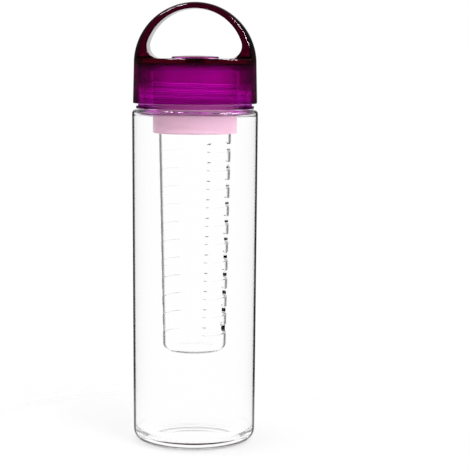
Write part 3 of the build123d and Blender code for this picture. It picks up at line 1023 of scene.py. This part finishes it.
def make_world(studio):
    """White behind and through the bottle, a soft fill for matt surfaces, and lamps for gloss."""
    world = bpy.data.worlds.new("studio_world")
    bpy.context.scene.world = world
    world.use_nodes = True
    tree = world.node_tree
    tree.nodes.clear()
    out = tree.nodes.new("ShaderNodeOutputWorld")
    back = add(tree, "ShaderNodeBackground", inputs={"Color": (1.0, 1.0, 1.0, 1.0)})
    tree.links.new(back.outputs[0], out.inputs["Surface"])
    place = tree.nodes.new("ShaderNodeTexCoord")
    parts = tree.nodes.new("ShaderNodeSeparateXYZ")
    tree.links.new(place.outputs["Generated"], parts.inputs[0])
    path = tree.nodes.new("ShaderNodeLightPath")
    x, y, z = (parts.outputs[axis] for axis in "XYZ")
    calc = partial(math_node, tree)
    through = ramp_between(tree, z, *TOP_RISE, 1.0, TOP_SHADE)
    azimuth = calc("ARCTAN2", x, y)
    screen = calc(
        "MULTIPLY",
        ramp_between(tree, calc("ABSOLUTE", azimuth), *SCREEN_AZIMUTH, 1.0, 0.0),
        ramp_between(tree, calc("ABSOLUTE", z), *SCREEN_RISE, 1.0, 0.0),
    )
    screen = calc("MULTIPLY", screen, ramp_between(tree, z, *SCREEN_HORIZON, *SCREEN_STRENGTH))

    def band(value, middle, half_width, softness):
        away = calc("ABSOLUTE", calc("SUBTRACT", value, middle))
        return ramp_between(tree, away, half_width, half_width + softness, 1.0, 0.0)

    strip = calc("MULTIPLY", band(azimuth, *STRIP_AZIMUTH), band(z, *STRIP_RISE))
    climb = calc("ARCTAN2", z, x)
    lamps = calc("MAXIMUM", band(climb, *RIGHT_LAMP_CLIMB), band(climb, *LEFT_LAMP_CLIMB))
    lamps = calc("MULTIPLY", lamps, band(y, *LAMP_DEPTH))
    mirrored = calc("MULTIPLY_ADD", lamps, studio.lamp_strength, studio.dark_strength)
    mirrored = calc("MULTIPLY_ADD", strip, studio.strip_strength, mirrored)
    mirrored = calc("MAXIMUM", mirrored, screen)

    def choose(test, chosen, otherwise):
        return calc("MULTIPLY_ADD", calc("SUBTRACT", chosen, otherwise), test, otherwise)

    seen = choose(path.outputs["Is Glossy Ray"], mirrored, studio.fill_strength)
    lit = calc("MINIMUM", path.outputs["Diffuse Depth"], 1.0)
    inner = calc("MULTIPLY_ADD", x, studio.inner_slant, studio.inner_fill)
    seen = choose(path.outputs["Is Transmission Ray"], choose(lit, inner, through), seen)
    seen = choose(path.outputs["Is Camera Ray"], 1.0, seen)
    tree.links.new(seen, back.inputs["Strength"])
    world.cycles.sampling_method = "NONE"


def make_key(studio):
    """One large soft lamp, from the upper right in front."""
    lamp = bpy.data.lights.new("key", "AREA")
    lamp.shape = "DISK"
    lamp.size = KEY_SIZE
    lamp.energy = studio.key_power
    holder = bpy.data.objects.new("key", lamp)
    bpy.context.scene.collection.objects.link(holder)
    holder.location = KEY_PLACE
    aim = Vector(KEY_AIM) - holder.location
    holder.rotation_euler = aim.to_track_quat("-Z", "Y").to_euler()
    holder.visible_camera = False
    holder.visible_glossy = False
    holder.visible_transmission = False


class BOTTLE_PT_panel(Panel):
    """Lists the bottle's pieces."""

    bl_idname = "BOTTLE_PT_panel"
    bl_label = "Infuser bottle"
    bl_space_type = "VIEW_3D"
    bl_region_type = "UI"
    bl_category = "Bottle"

    def draw(self, context):
        for step in STEPS:
            self.layout.operator(step.bl_idname)
        for group in ("bottle_looks", "bottle_threads", "bottle_rings", "bottle_studio"):
            settings = getattr(context.scene, group)
            box = self.layout.box()
            for key in settings.bl_rna.properties.keys():
                if key not in ("rna_type", "name"):
                    box.prop(settings, key)


SETTINGS = (
    ("bottle_looks", PlasticLooks),
    ("bottle_threads", ThreadSizes),
    ("bottle_rings", RingSizes),
    ("bottle_studio", StudioSettings),
)
STEPS = (
    BOTTLE_OT_body,
    BOTTLE_OT_head,
    BOTTLE_OT_basket,
    BOTTLE_OT_rings,
    BOTTLE_OT_lid,
    BOTTLE_OT_cap,
    BOTTLE_OT_studio,
)


def register():
    """Registers the settings, the steps and the panel."""
    for name, group in SETTINGS:
        bpy.utils.register_class(group)
        setattr(bpy.types.Scene, name, PointerProperty(type=group))
    for step in STEPS:
        bpy.utils.register_class(step)
    bpy.utils.register_class(BOTTLE_PT_panel)


def unregister():
    """Takes them away again, in the reverse order."""
    bpy.utils.unregister_class(BOTTLE_PT_panel)
    for step in reversed(STEPS):
        bpy.utils.unregister_class(step)
    for name, group in reversed(SETTINGS):
        delattr(bpy.types.Scene, name)
        bpy.utils.unregister_class(group)


def main():
    """Builds every piece in order."""
    register()
    bpy.ops.bottle.body()
    bpy.ops.bottle.head()
    bpy.ops.bottle.basket()
    bpy.ops.bottle.rings()
    bpy.ops.bottle.lid()
    bpy.ops.bottle.cap()
    bpy.ops.bottle.studio()


if __name__ == "__main__":
    main()
